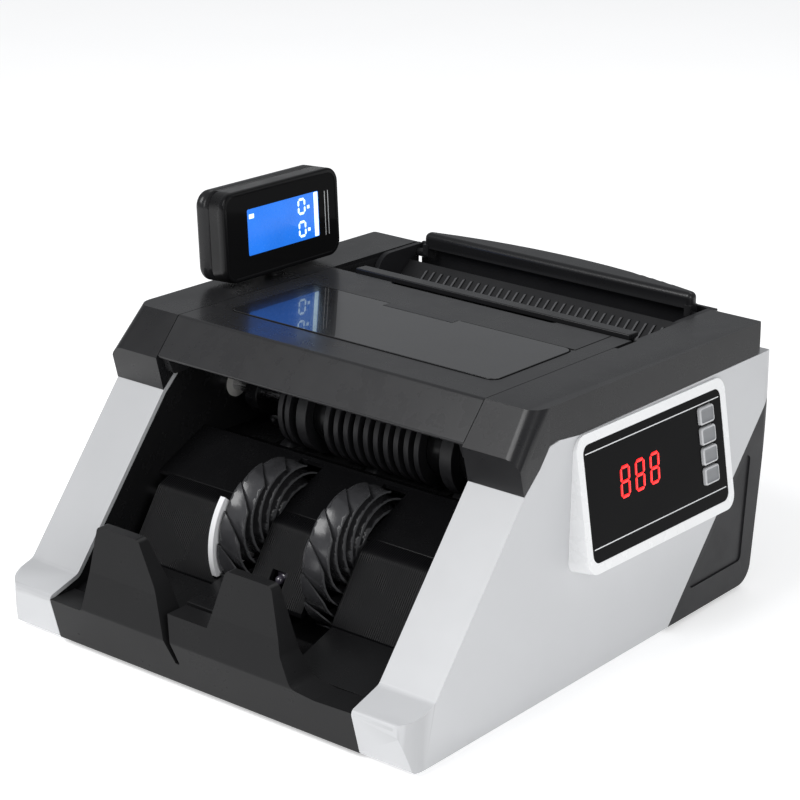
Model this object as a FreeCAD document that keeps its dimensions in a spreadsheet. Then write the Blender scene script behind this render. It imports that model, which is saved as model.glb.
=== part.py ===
import FreeCAD, Part
import math
import os
import re
import Sketcher

# Banknote counter with a rear hopper, a front stacker pocket and a customer display.
# Millimetres. X to the right, Y to the rear, Z up. The origin lies on the table,
# below the middle of the housing.

DIMENSIONS = {
    # housing
    "width": 280, "throat": 210, "wall": 2.5, "gap": 0.3, "foot_height": 3,
    "front_edge": 156, "rear_edge": 167, "cap_front": 70, "cap_rear": 156,
    "top_front_z": 160.2, "top_rear_z": 154.6, "cap_top_width": 137,
    "top_slope": 1.54, "foot_x": 122, "foot_y": 127, "foot_radius": 9, "foot_bore": 1.8,
    # lid
    "lid_rear": 77, "lid_pin_y": -56, "lid_pin_z": 136, "lid_pin_radius": 3,
    "lid_gap": 0.4, "cover_thick": 1.25,
    # hopper
    "lip_front": 79.5, "lip_rear": 88.5, "lip_top": 158.4,
    "rest_pin_y": 151, "rest_pin_z": 149.6, "rest_pin_radius": 2.5,
    # shafts
    "shaft_radius": 4, "shaft_play": 0.05, "bearing_radius": 8,
    "drum_y": -7, "drum_z": 109, "drum_radius": 24,
    "pickup_y": 96.4, "pickup_z": 94.4, "pickup_radius": 16,
    "wheel_y": -65.5, "wheel_z": 58.5, "wheel_radius": 40, "blade_count": 14,
    "pinch_y": -7, "pinch_z": 76.4, "pinch_radius": 8, "pinch_shaft": 3,
    "motor_y": 96, "motor_z": 38, "motor_radius": 26, "motor_nose": 9,
    "small_motor_y": 0, "small_motor_z": 34, "small_motor_radius": 15, "small_motor_nose": 5,
    "pulley_near": 112, "pulley_width": 9, "belt_width": 6, "belt_thick": 1.4,
    # control panel, measured in its own tilted plane
    "panel_tilt": 9.7, "panel_y": 42, "panel_z": 102, "panel_x": 147.4,
    "panel_length": 136, "panel_height": 73, "window_length": 125.6,
    "window_height": 62, "key_length": 13.4, "key_height": 9.4,
    "key_pitch": 11, "key_column": 47.3, "key_top": 20,
    # customer display, measured in its own upright frame
    "display_length": 97.5, "display_height": 51.8, "front_shell": 10.8,
    "rear_shell": 11.3, "display_lean": 4, "display_x": -122.5, "display_y": 45,
    "post_radius": 5.2, "post_play": 0.08, "display_lift": 3,
    # rear fittings, measured in the plane of the rear panel
    "inlet_x": 72, "switch_x": 30, "fitting_z": 42,
    # stacker
    "stack_x": 7, "pocket_front": 138, "plate_bottom": 103, "plate_half": 20,
    "plate_inner": 40.5, "plate_outer": 96, "wheel_offset": 29, "wheel_width": 14,
}

doc = FreeCAD.newDocument("banknote_counter")
sheet = doc.addObject("Spreadsheet::Sheet", "dimensions")
for row, (alias, value) in enumerate(DIMENSIONS.items(), start=1):
    sheet.set(f"A{row}", alias)
    sheet.set(f"B{row}", str(value))
    sheet.setAlias(f"B{row}", alias)
doc.recompute()

V = FreeCAD.Vector
X_AXIS, Y_AXIS, Z_AXIS = V(1, 0, 0), V(0, 1, 0), V(0, 0, 1)
NODES = []


# ---------------------------------------------------------------- helpers

def dim(formula):
    """Value of a formula written in sheet aliases."""
    if not isinstance(formula, str):
        return float(formula)
    return float(sheet.evalExpression(linked(formula)))


def linked(formula):
    """Formula with every alias pointed at the sheet."""
    def point(match):
        word = match.group()
        return f"dimensions.{word}" if word in DIMENSIONS else word
    return re.sub(r"[a-z_]+", point, str(formula))


def bind(obj, prop, formula):
    obj.setExpression(prop, linked(formula))


def node(obj, label):
    """Marks a finished sub-part."""
    obj.Label = label
    NODES.append(obj)
    return obj


def box(x, y, z, label="block"):
    obj = doc.addObject("Part::Box", label)
    for axis, size, (low, high) in (("x", "Length", x), ("y", "Width", y), ("z", "Height", z)):
        bind(obj, size, f"({high}) - ({low})")
        bind(obj, f"Placement.Base.{axis}", low)
    return obj


def rod(radius, x, y, z, label="rod"):
    """Cylinder along X from x[0] to x[1]."""
    obj = doc.addObject("Part::Cylinder", label)
    obj.Placement = FreeCAD.Placement(V(), FreeCAD.Rotation(Y_AXIS, 90))
    bind(obj, "Radius", radius)
    bind(obj, "Height", f"({x[1]}) - ({x[0]})")
    bind(obj, "Placement.Base.x", x[0])
    bind(obj, "Placement.Base.y", y)
    bind(obj, "Placement.Base.z", z)
    return obj


def post(radius, x, y, z, label="post"):
    """Cylinder along Z from z[0] to z[1]."""
    obj = doc.addObject("Part::Cylinder", label)
    bind(obj, "Radius", radius)
    bind(obj, "Height", f"({z[1]}) - ({z[0]})")
    bind(obj, "Placement.Base.x", x)
    bind(obj, "Placement.Base.y", y)
    bind(obj, "Placement.Base.z", z[0])
    return obj


def fuse(parts, label="fusion"):
    obj = doc.addObject("Part::MultiFuse", label)
    obj.Shapes = parts
    return obj


def common(parts, label="common"):
    obj = doc.addObject("Part::MultiCommon", label)
    obj.Shapes = parts
    return obj


def cut(base, tools, label="cut"):
    obj = doc.addObject("Part::Cut", label)
    obj.Base = base
    obj.Tool = tools[0] if len(tools) == 1 else fuse(tools)
    return obj


def group(parts, label):
    """Separate identical solids kept in one node."""
    obj = doc.addObject("Part::Compound", label)
    obj.Links = parts
    return obj


def mirrored(source, label):
    """Left-hand twin of a right-hand part."""
    obj = doc.addObject("Part::Mirroring", label)
    obj.Source = source
    obj.Normal = X_AXIS
    return obj


def inset(outline, wall):
    """Outline moved inwards by the wall; corners are (u, v, radius), counter-clockwise."""
    def shifted(start, end):
        along = V(end[0] - start[0], end[1] - start[1], 0).normalize()
        inward = V(-along.y, along.x, 0)
        return V(start[0], start[1], 0) + inward * wall, along

    inner = []
    for index, corner in enumerate(outline):
        before, d_before = shifted(outline[index - 1], corner)
        after, d_after = shifted(corner, outline[(index + 1) % len(outline)])
        turn = d_before.cross(d_after).z
        reach = (after - before).cross(d_after).z / turn
        meet = before + d_before * reach
        radius = corner[2] - wall if turn > 0 else corner[2] + wall
        inner.append((meet.x, meet.y, max(radius, 0) if corner[2] else 0))
    return inner


def draw(sketch, outline):
    """Closed outline of straight runs; a corner's third value rounds it off."""
    corners = [V(u, v, 0) for u, v, _ in outline]
    starts, ends, arcs = [], [], []
    for index, corner in enumerate(corners):
        before = (corners[index - 1] - corner).normalize()
        after = (corners[(index + 1) % len(corners)] - corner).normalize()
        radius = outline[index][2]
        half = before.getAngle(after) / 2
        if radius <= 0 or half > math.radians(89.5):
            starts.append(corner)
            ends.append(corner)
            arcs.append(None)
            continue
        reach = radius / math.tan(half)
        first, last = corner + before * reach, corner + after * reach
        centre = corner + (before + after).normalize() * (radius / math.sin(half))
        middle = centre + (corner - centre).normalize() * radius
        ends.append(first)
        starts.append(last)
        arcs.append(Part.Arc(first, middle, last))
    for index, arc in enumerate(arcs):
        if arc:
            sketch.addGeometry(arc)
        start, end = starts[index], ends[(index + 1) % len(ends)]
        if (end - start).Length > 1e-4:
            sketch.addGeometry(Part.LineSegment(start, end))


PLANES = {"x": "YZ_Plane", "y": "XZ_Plane", "z": "XY_Plane"}


def prism(axis, outline, span, label="prism"):
    """PartDesign pad of an outline along an axis, from span[0] to span[1].

    The outline is in (Y, Z), (X, Z) or (X, Y) for the axes x, y and z.
    """
    body = doc.addObject("PartDesign::Body", label)
    sketch = body.newObject("Sketcher::SketchObject", f"{label}_outline")
    plane = [f for f in body.Origin.OriginFeatures if f.Role == PLANES[axis]][0]
    sketch.AttachmentSupport = [(plane, "")]
    sketch.MapMode = "FlatFace"
    start = f"-({span[1]})" if axis == "y" else span[0]
    bind(sketch, "AttachmentOffset.Base.z", start)
    draw(sketch, outline)
    pad = body.newObject("PartDesign::Pad", f"{label}_pad")
    pad.Profile = sketch
    bind(pad, "Length", f"({span[1]}) - ({span[0]})")
    doc.recompute()
    return body


def turned(profile, label="turned"):
    """PartDesign revolution about X of a closed (x, radius) profile."""
    body = doc.addObject("PartDesign::Body", label)
    sketch = body.newObject("Sketcher::SketchObject", f"{label}_outline")
    plane = [f for f in body.Origin.OriginFeatures if f.Role == "XZ_Plane"][0]
    sketch.AttachmentSupport = [(plane, "")]
    sketch.MapMode = "FlatFace"
    draw(sketch, [(x, radius, 0) for x, radius in profile])
    spin = body.newObject("PartDesign::Revolution", f"{label}_spin")
    spin.Profile = sketch
    spin.ReferenceAxis = (sketch, ["H_Axis"])
    spin.Angle = 360
    doc.recompute()
    return body


def placed(obj, y, z):
    """Moves a part turned about the X axis out to its shaft."""
    bind(obj, "Placement.Base.y", y)
    bind(obj, "Placement.Base.z", z)
    return obj


def rectangle(u, v, radius=0):
    return [(u[0], v[0], radius), (u[1], v[0], radius), (u[1], v[1], radius), (u[0], v[1], radius)]


# ---------------------------------------------------------------- shared outlines

HALF = dim("width / 2")
THROAT = dim("throat / 2")
WALL = dim("wall")
GAP = dim("gap")
BASE = dim("foot_height")
FRONT = -dim("front_edge")
REAR = dim("rear_edge")

SHAFTS = ("drum", "pickup", "wheel")
KEYS = 4
PINCH_X = (-62, 0, 60)

# Side view (Y, Z) of the housing below the caps.
SIDE = [
    (FRONT + 7, BASE, 2), (148.5, BASE, 12), (162, 111.9, 12), (REAR, 125.8, 6),
    (160.7, 137.4, 2), (-19.3, 139.8, 20), (-36.3, 142, 3), (-44.6, 141, 3),
    (-52.5, 131.3, 0), (-65.1, 120.2, 0), (-134.5, 35.1, 6), (FRONT, 28.8, 3),
]
# Side view of the caps that sit on it.
CAP = [
    (-65.1, 120.6, 0), (-52.5, 131.7, 0), (-44.6, 141.4, 3), (-36.3, 142.4, 3),
    (-19.3, 140.2, 20), (156.2, 137.9, 0), (156.2, 154.6, 3),
    (-51.7, 160.2, 0), (-70, 140.1, 0),
]


def top_z(y):
    """Height of the sloping top at a depth."""
    slope = (dim("top_rear_z") - dim("top_front_z")) / 207.9
    return dim("top_front_z") + slope * (y + 51.7)


def hopper_z(y):
    """Height of the hopper plate's upper face at a depth."""
    return 151 - (148 - y) * 0.755


# ---------------------------------------------------------------- housing

def side_shell(inside, outside, wall, label):
    """Hollow box of the side profile, open towards the middle of the machine."""
    outer = common([
        prism("x", SIDE, (inside, outside), f"{label}_block"),
        prism("z", [(0, FRONT - 1, 0), (HALF, FRONT, 14), (HALF, REAR + 1, 12), (0, REAR + 1, 0)],
              (0, 200), f"{label}_plan"),
    ])
    cavity = common([
        prism("x", inset(SIDE, wall), (f"{inside} - 1", f"{outside} - wall"), f"{label}_cavity"),
        prism("z", [(0, FRONT - 1, 0), (HALF - wall, FRONT + wall, 14 - wall),
                    (HALF - wall, REAR + 1 - wall, 12 - wall), (0, REAR + 1, 0)], (-1, 201), f"{label}_core"),
    ])
    return cut(outer, [cavity])


FOOT_PLACES = [(sx * dim("foot_x"), sy * dim("foot_y")) for sx in (-1, 1) for sy in (-1, 1)]


def foot_bores():
    """Screw holes through the housing's bottom above the feet."""
    return [post("foot_bore", x, y, (0, 12)) for x, y in FOOT_PLACES if x > 0]


def split_prism(offset, label):
    """Everything behind the slanting colour line on the side, moved rearwards by offset."""
    outline = [(58 + offset, -8, 0), (260, -8, 0), (260, 223.7, 0)]
    return prism("x", outline, ("throat / 2 - 2", 150), label)


def side_panels():
    shell = side_shell("throat / 2", "width / 2", WALL, "side")
    panel = node(cut(shell, [split_prism(0, "behind_line")] + foot_bores()), "side_panel_right")
    shell_rear = side_shell("throat / 2", "width / 2", WALL, "corner")
    field = [(84, 18.5, 3), (139, 18.5, 3), (145.5, 86, 3)]
    sunk = prism("x", field, ("width / 2 - 1", "width / 2 + 5"), "sunk_field")
    corner = common([shell_rear, split_prism(GAP, "behind_seam")])
    rear = node(cut(corner, [sunk] + foot_bores()), "rear_corner_right")
    node(mirrored(panel, "side_panel_left"), "side_panel_left")
    node(mirrored(rear, "rear_corner_left"), "rear_corner_left")


def wall_bores(reach):
    """Bores through an inner wall: bearings, pinch rollers and the noses of both motors."""
    bores = [rod("bearing_radius", reach, f"{name}_y", f"{name}_z") for name in SHAFTS]
    bores.append(rod("pinch_shaft + shaft_play", reach, "pinch_y", "pinch_z"))
    bores.append(rod("motor_nose + 1", reach, "motor_y", "motor_z"))
    bores.append(rod("small_motor_nose + 1", reach, "small_motor_y", "small_motor_z"))
    return bores


def inner_walls():
    reach = ("throat / 2 - 1", "throat / 2 + 5")
    plate = prism("x", inset(SIDE, WALL + 0.3), ("throat / 2", "throat / 2 + wall"), "wall_plate")
    wall = node(cut(plate, wall_bores(reach)), "inner_wall_right")
    node(mirrored(wall, "inner_wall_left"), "inner_wall_left")


def base_tray():
    """Bottom of the machine: a shallow tray with vent slots under the board."""
    front, rear = -139, 134.5
    half = THROAT - GAP
    floor = box((-half, half), (front, rear), ("foot_height", "foot_height + wall"))
    rims = [box((-half, half), (edge, edge + WALL), ("foot_height", "foot_height + 9"))
            for edge in (front, rear - WALL)]
    slots = [box((x, x + 3), (52, 92), (0, 12)) for x in range(-40, 41, 8)]
    node(cut(fuse([floor] + rims), slots), "base_tray")


def rubber_feet():
    parts = []
    for x, y in FOOT_PLACES:
        pad = post("foot_radius", x, y, (0, "foot_height"))
        parts.append(cut(pad, [post("foot_bore", x, y, (-1, "foot_height + 1"))]))
    node(group(parts, "rubber_feet"), "rubber_feet")


def rear_panel():
    """Back of the machine with a row of vents and the window of the mains fittings."""
    half = THROAT - GAP
    outline = [(162, 111.9, 12), (REAR, 125.8, 6), (160.7, 137.4, 6), (160.7, 153.6, 0),
               (158.2, 153.6, 0), (158.2, 136.6, 4), (164, 125.4, 4), (159.5, 112.2, 9.5),
               (146.3, BASE + WALL, 9.5), (134.8, BASE + WALL, 0), (134.8, BASE, 0), (148.5, BASE, 12)]
    sheet_part = prism("x", outline, (-half, half), "rear_sheet")
    vent_width, vent_low, vent_high = 3.2, 74, 100
    holes = [rear_block((x, x + vent_width), (vent_low, vent_high), (-8, 8)) for x in range(-84, 85, 8)]
    window_x = ("switch_x - 10", "inlet_x + 14")
    holes.append(rear_block(window_x, ("fitting_z - 10.2", "fitting_z + 10.2"), (-9, 9)))
    node(cut(sheet_part, holes), "rear_panel")


REAR_TILT = math.degrees(math.atan2(162 - 151.2, 111.9 - 15))


def rear_frame(local):
    """World placement of a point given in the rear panel's own plane."""
    lean = FreeCAD.Rotation(X_AXIS, -REAR_TILT)
    foot = V(0, 151.2 - 15 * math.tan(math.radians(REAR_TILT)), 0)
    return FreeCAD.Placement(foot + lean.multVec(local), lean)


def rear_block(x, z, y):
    """Box in the rear panel's own plane, y counted from its outer face."""
    block = doc.addObject("Part::Box", "rear_block")
    for size, (low, high) in (("Length", x), ("Width", y), ("Height", z)):
        bind(block, size, f"({high}) - ({low})")
    block.Placement = rear_frame(V(dim(x[0]), dim(y[0]), dim(z[0])))
    return block


def rear_fittings():
    """Mains inlet with the rocker's frame beside it, and the rocker."""
    def fitting(x, z, y):
        """Block from x = (middle, low, high), z = (low, high) about the fitting's height."""
        middle, low, high = x
        return rear_block((f"{middle} + {low}", f"{middle} + {high}"),
                          (f"fitting_z + {z[0]}", f"fitting_z + {z[1]}"), y)

    body = fitting(("inlet_x", -13.8, 13.8), (-10, 10), (-22, 1))
    can = fitting(("switch_x", -9.5, 9.5), (-6.5, 6.5), (-18, 0.5))
    flange = rear_block(("switch_x - 14", "inlet_x + 25"), ("fitting_z - 12", "fitting_z + 12"), (0.05, 2))
    socket = fitting(("inlet_x", -12, 12), (-8, 8), (-16, 3))
    well = fitting(("switch_x", -8, 8), (-4.8, 4.8), (-9, 3))
    blades = [fitting(("inlet_x", x - 1, x + 1), (z - 2, z + 2), (-16.5, -4))
              for x, z in ((-7, -2), (0, 3), (7, -2))]
    seat = rear_frame(V(0, -3.5, dim("fitting_z"))).Base
    pivot = rod(1.45, ("switch_x - 8.5", "switch_x + 8.5"), seat.y, seat.z, "rocker_pin")
    node(fuse([cut(fuse([body, can, flange]), [socket, well]), pivot] + blades), "power_inlet")
    rocker = fitting(("switch_x", -7.6, 7.6), (-4, 4), (-5.5, 2.6))
    worn = fitting(("switch_x", -8, 8), (0, 6), (1.3, 3))
    bore = rod(1.5, ("switch_x - 9.5", "switch_x + 9.5"), seat.y, seat.z, "rocker_bore")
    node(cut(rocker, [worn, bore]), "power_rocker")


# ---------------------------------------------------------------- caps and lid

def cap_envelope(label):
    """Front view of a cap: its outer side leans outwards towards the bottom."""
    top = dim("cap_top_width")
    front = [(THROAT + 0.02, 100, 0), (HALF, 100, 0), (HALF, 138.5, 0), (top, 160.6, 0),
             (THROAT + 0.02, 163, 0)]
    return prism("y", front, ("-cap_front - 5", "cap_rear + 5"), label)


def cap_plan(label):
    plan = [(THROAT - 1, -100, 0), (HALF, -100, 0), (HALF, 156.2, 10), (THROAT - 1, 156.2, 0)]
    return prism("z", plan, (100, 180), label)


def cap_block(label):
    """Outer form of the right cap with its front corner rounded."""
    solid = common([prism("x", CAP, ("throat / 2", "width / 2"), f"{label}_side"),
                    cap_envelope(f"{label}_front"), cap_plan(f"{label}_plan")])
    doc.recompute()
    radius = 9.0
    chosen = []
    for number, edge in enumerate(solid.Shape.Edges, start=1):
        span = edge.BoundBox
        at_corner = span.YMax < -45 and span.XMin > 136 and span.ZMin > 138
        if at_corner and span.YLength > 12 and span.ZLength > 12:
            chosen.append((number, radius, radius))
    rounded = doc.addObject("Part::Fillet", f"{label}_rounded")
    rounded.Base = solid
    rounded.Edges = chosen
    doc.recompute()
    return rounded


def cap_cavity(label):
    """Hollow of a cap, open below, that leaves walls of one thickness."""
    span = ("throat / 2 + wall", "width / 2 - wall")
    inner = prism("x", inset(CAP, WALL), span, f"{label}_hollow")
    opening = [(-42, 110, 0), (150, 110, 0), (150, 140.5, 0), (-42, 145, 0)]
    under = prism("x", opening, span, f"{label}_under")
    slope = [(THROAT, 90, 0), (HALF - WALL, 90, 0), (HALF - WALL, 138, 0), (134.5, 158.5, 0),
             (THROAT, 158.5, 0)]
    limit = prism("y", slope, ("-cap_front", "cap_rear - wall"), f"{label}_limit")
    return common([fuse([inner, under]), limit])


def pin_holes():
    """Bores in a cap's inner side for the lid's pin and the back rest's pin."""
    reach = ("throat / 2 - 1", "throat / 2 + 5")
    return [rod("lid_pin_radius + shaft_play", reach, "lid_pin_y", "lid_pin_z"),
            rod("rest_pin_radius + shaft_play", reach, "rest_pin_y", "rest_pin_z")]


def top_caps():
    """Caps over the two side housings; the left one carries the display's socket."""
    form = cut(cap_block("cap"), [cap_cavity("cap")] + pin_holes())
    latch = box(("throat / 2 - 1", "throat / 2 + 2.2"), (60, 78), (150, 170))
    node(cut(form, [latch]), "top_cap_right")
    left = mirrored(form, "cap_left_form")
    socket = on_display(post("post_radius + post_play", 0, 0, (-14, 6)), lean=False)
    node(cut(left, [socket]), "top_cap_left")


def on_lid(obj):
    """Lays a part built flat onto the sloping top of the lid."""
    y = 42
    tilt = FreeCAD.Rotation(X_AXIS, -dim("top_slope"))
    obj.Placement = FreeCAD.Placement(V(), tilt, V(0, y, top_z(y)))
    return obj


def lid():
    """Lid over the throat with its inlaid cover sheet and a blank badge plate."""
    half = THROAT - dim("lid_gap")
    rear = dim("lid_rear")
    front_top = top_z(-51.7)
    rib_top = top_z(rear) - 1
    outline = [(-70, 140.1, 1.5), (-66, 139.4, 0), (rear, 149.5, 0), (rear, top_z(rear), 1.2),
               (-51.7, front_top, 3)]
    block = prism("x", outline, (-half, half), "lid_block")
    hollow = [(-74, 130, 0), (90, 130, 0), (90, top_z(90) - WALL, 0), (-50.6, front_top - WALL, 1),
              (-66.6, 140.2, 0)]
    inside = prism("x", hollow, (-half + WALL, half - WALL), "lid_hollow")
    across = (-half + WALL - 0.5, half - WALL + 0.5)
    walls = [box(across, ("lid_rear - wall", "lid_rear"), (151, rib_top)),
             box((-62, 58), ("lid_rear - 6", "lid_rear - 3.6"), (151, rib_top))]
    walls += [box((x, x + 1.8), (-48, rear - 1), (152, rib_top)) for x in (-60, -20, 18, 58)]
    ear = [(-66, 139.6, 0), (-62, 130, 3), (-50, 130, 4), (-30, 156, 0), (-50, 156, 0)]
    for low in (-half, half - 5):
        walls.append(prism("x", ear, (low, low + 5), "lid_ear"))
    top = top_z(42)
    recess = on_lid(prism("z", rectangle((-91.4, 92.4), (-27.4, 42.4), 6), (top - 0.75, 170), "cover_seat"))
    notch = [(-60, 90, 0), (-60, 73.5, 3), (56, 73.5, 3), (56, 90, 0)]
    scoop = prism("z", notch, (145, 175), "finger_scoop")
    pins = [rod("lid_pin_radius", span, "lid_pin_y", "lid_pin_z")
            for span in (("-throat / 2 - 4", "-throat / 2 + 3"), ("throat / 2 - 3", "throat / 2 + 4"))]
    form = fuse([cut(block, [inside])] + walls)
    node(fuse([cut(form, [recess, scoop])] + pins), "lid_shell")
    sheet_z = (top - 0.7, f"{top - 0.7} + cover_thick")
    cover = on_lid(prism("z", rectangle((-90.6, 91.6), (-26.6, 41.6), 5.4), sheet_z, "cover_sheet"))
    seat = on_lid(prism("z", rectangle((-33.3, 15.3), (35.7, 44), 0.5), (top, 170), "badge_seat"))
    node(cut(cover, [seat]), "lid_panel")
    badge = prism("z", rectangle((-33, 15), (36, 41.4), 0.5), (top + 0.02, top + 0.7), "badge")
    node(on_lid(badge), "badge_plate")


# ---------------------------------------------------------------- hopper

def hopper():
    """Sloping feed plate with low ribs, its two cheeks and the lip behind the lid."""
    half = THROAT - 4
    low, high, thick = 60, 143, 2.5
    slab = [(low, hopper_z(low) - thick, 0), (high, hopper_z(high) - thick, 0),
            (high, hopper_z(high), 0.5), (low, hopper_z(low), 0.5)]
    plate = prism("x", slab, (-half, half), "hopper_slab")
    rib_height, rib_width, rib_pitch = 1.2, 1.2, 5.6
    rib = [(70, hopper_z(70) - 1, 0), (139, hopper_z(139) - 1, 0), (139, hopper_z(139), 0),
           (137, hopper_z(137) + rib_height, 0), (72, hopper_z(72) + rib_height, 0)]
    rollers = (-25, 25)
    starts = [-84.6 + rib_pitch * step for step in range(31)]
    ribs = [prism("x", rib, (x, x + rib_width), "hopper_rib") for x in starts]
    slots = [box((x - 9, x + 9), (76, 104), (60, 140)) for x in rollers]
    node(cut(fuse([plate] + ribs), slots), "hopper_plate")
    cheek = [(62, hopper_z(62) - 1, 0), (144.5, hopper_z(144.5) - 1, 0), (157.6, 149, 0),
             (157.6, 154.2, 3), (116, 155.2, 12), (108, 130, 10), (84, 126, 8), (62, 110, 6)]
    side = prism("x", cheek, ("throat / 2 - 3.8", "throat / 2 - 0.3"), "cheek")
    reach = ("throat / 2 - 8", "throat / 2 + 2")
    bore = rod("rest_pin_radius + shaft_play", reach, "rest_pin_y", "rest_pin_z")
    right = node(cut(side, [bore]), "hopper_cheek_right")
    node(mirrored(right, "hopper_cheek_left"), "hopper_cheek_left")
    y0, y1, top = dim("lip_front"), dim("lip_rear"), dim("lip_top")
    web = (y0 + 3.4, y0 + 5.6)
    section = [(y0, top - 3.2, 0), (web[0], top - 3.6, 1), (web[0], 114, 0), (web[1], 114, 0),
               (web[1], top - 3.6, 1), (y1, top - 3.2, 1), (y1, top - 0.6, 0.5), (y0, top, 0.8)]
    node(prism("x", section, (-90, "throat / 2 - 4.3"), "lip"), "hopper_lip")


def back_rest():
    """Note support with an arched rear edge, hinged between the cheeks."""
    ends, thick = 95, 9
    front, shoulder, crown = 148, 155, 167
    underside = 154
    body = doc.addObject("PartDesign::Body", "rest")
    sketch = body.newObject("Sketcher::SketchObject", "rest_outline")
    plane = [f for f in body.Origin.OriginFeatures if f.Role == "XY_Plane"][0]
    sketch.AttachmentSupport = [(plane, "")]
    sketch.MapMode = "FlatFace"
    sketch.AttachmentOffset = FreeCAD.Placement(V(0, 0, underside), FreeCAD.Rotation())
    corners = [V(-ends, shoulder, 0), V(-ends, front, 0), V(ends, front, 0), V(ends, shoulder, 0)]
    for start, end in zip(corners, corners[1:]):
        sketch.addGeometry(Part.LineSegment(start, end))
    sketch.addGeometry(Part.Arc(corners[3], V(0, crown, 0), corners[0]))
    pad = body.newObject("PartDesign::Pad", "rest_pad")
    pad.Profile = sketch
    pad.Length = thick
    doc.recompute()
    edges = []
    for number, edge in enumerate(pad.Shape.Edges, start=1):
        span = edge.BoundBox
        on_top = span.ZLength < 0.01 and span.ZMin > underside + thick / 2
        if on_top or span.ZLength > thick / 2:
            edges.append(f"Edge{number}")
    fillet = body.newObject("PartDesign::Fillet", "rest_fillet")
    fillet.Base = (pad, edges)
    fillet.Radius = 3.4
    doc.recompute()
    arm = [(147.4, 147, 3), (154.6, 147, 3), (154.6, 156, 0), (147.4, 156, 0)]
    arms = []
    for side in (-1, 1):
        low, high = sorted((side * ends, side * (ends - 4)))
        arms.append(prism("x", arm, (low, high), "rest_arm"))
        low, high = sorted((side * (ends - 1), side * (THROAT + 2)))
        arms.append(rod("rest_pin_radius", (low, high), "rest_pin_y", "rest_pin_z"))
    node(fuse([body] + arms), "back_rest")


# ---------------------------------------------------------------- stacker

def front_fence():
    """Front wall of the pocket with two upstanding fingers, hollow from below."""
    half = THROAT - GAP
    profile = [(FRONT + 7, BASE, 1), (-140.5, BASE, 0), (-137.5, 27.5, 0), (-142, 76, 0), (-148, 76, 0),
               (-151.5, 50, 20), (FRONT, 28.8, 3)]
    silhouette = [
        (-half, BASE - 1, 0), (half, BASE - 1, 0), (half, 27.6, 0), (81, 26.6, 3), (66, 28.5, 8),
        (57, 42, 8), (47.5, 75.4, 4), (17, 75.4, 3), (7.5, 43, 0), (-20, 43, 0), (-12.5, 16, 1),
        (-15.5, 16, 1), (-31, 54, 20), (-44.5, 75.4, 4), (-74, 75.4, 3), (-79.5, 36, 2),
        (-81, 27.6, 2), (-half, 27.6, 0),
    ]
    solid = common([prism("x", profile, (-half, half), "fence_side"),
                    prism("y", silhouette, (FRONT - 4, -130), "fence_front")])
    inner_profile = [(-146.2, BASE - 2, 0), (-143, BASE - 2, 0), (-140, 27, 0), (-144.3, 73, 0),
                     (-145.8, 73, 0), (-149.2, 50, 18), (-153.2, 28.4, 2)]
    inner_half = half - 2.4
    thin = [
        (-inner_half, BASE - 2, 0), (inner_half, BASE - 2, 0), (inner_half, 25, 0), (80, 24.2, 3),
        (64, 26, 8), (54.5, 41, 8), (45.5, 73, 3), (18.8, 73, 2), (10, 41, 0), (-16, 41, 0),
        (-10.5, 14, 0), (-17.5, 14, 0), (-33, 52.5, 18), (-46, 73, 3), (-72, 73, 2),
        (-77.4, 36, 2), (-78.6, 25.2, 2), (-inner_half, 25, 0),
    ]
    hollow = common([prism("x", inner_profile, (-half + 1, half - 1), "fence_inner_side"),
                     prism("y", thin, (FRONT - 4, -130), "fence_inner_front")])
    node(cut(solid, [hollow]), "front_fence")


def stacker_floor():
    """Floor of the pocket: sloping wings, a raised ledge and a low apron between them."""
    half = THROAT - GAP
    front, rear = -dim("pocket_front") + 1.5, -dim("plate_bottom") - 0.3
    slope = [(front, 24.6, 0), (rear, 35.6, 0), (rear, 37.8, 0), (front, 26.8, 0)]
    wing_left = prism("x", slope, (-half, -22), "floor_wing_left")
    wing_right = prism("x", slope, (50, half), "floor_wing_right")
    ledge = [(front - 0.2, 22, 0), (-98, 22, 0), (-98, 24.4, 0), (-134, 24.4, 0), (-134, 42, 0),
             (-110, 46, 0), (-110, 48.4, 0), (front, 43.4, 1)]
    middle = prism("x", ledge, (-22, 7), "floor_ledge")
    flat = [(front, 22, 0), (rear, 22, 0), (rear, 24.2, 0), (front, 24.2, 0)]
    apron = prism("x", flat, (7, 50), "floor_apron")
    wedge = [(front, 22, 0), (rear, 22, 0), (rear, 37.8, 0), (front, 26.8, 0)]
    cheeks = [prism("x", wedge, (x, x + 2), "floor_cheek") for x in (-24, 48)]
    node(fuse([wing_left, wing_right, middle, apron] + cheeks), "stacker_floor")


# Side views (Y, Z) of a stacker plate's face, its flank and the guide wall beside the right wheel.
PLATE = [(-103, 36, 0), (-100.6, 36, 0), (-86.5, 58, 10), (-78.4, 69.6, 7), (-70.8, 73.4, 0),
         (-70.8, 75.8, 0), (-79.6, 72.6, 9), (-90.5, 57, 14), (-103, 38.6, 0)]
FLANK = [(-100.4, 37, 0), (-72, 30, 0), (-72, 73.4, 0), (-78.4, 70.6, 6), (-88, 58, 10)]
GUIDE = [(-97, 36, 0), (-89, 47.5, 0), (-75.5, 64.5, 20), (-62, 71.5, 12), (-50, 74.6, 0), (-49.4, 72.4, 0),
         (-61, 68.6, 10), (-71.5, 61.6, 8), (-81, 49, 0), (-87, 36, 0)]


def guide_fin(x):
    """Curved fin just outside the left wheel's rim, from x[0] to x[1]."""
    at = ("wheel_y", "wheel_z")
    ring = cut(rod("wheel_radius + 2", x, *at), [rod("wheel_radius - 11", x, *at)])
    wedge = [(dim("wheel_y"), dim("wheel_z"), 0), (-125, 112, 0), (-139, 27, 0)]
    return common([ring, prism("x", wedge, x, "fin_wedge")])


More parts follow.
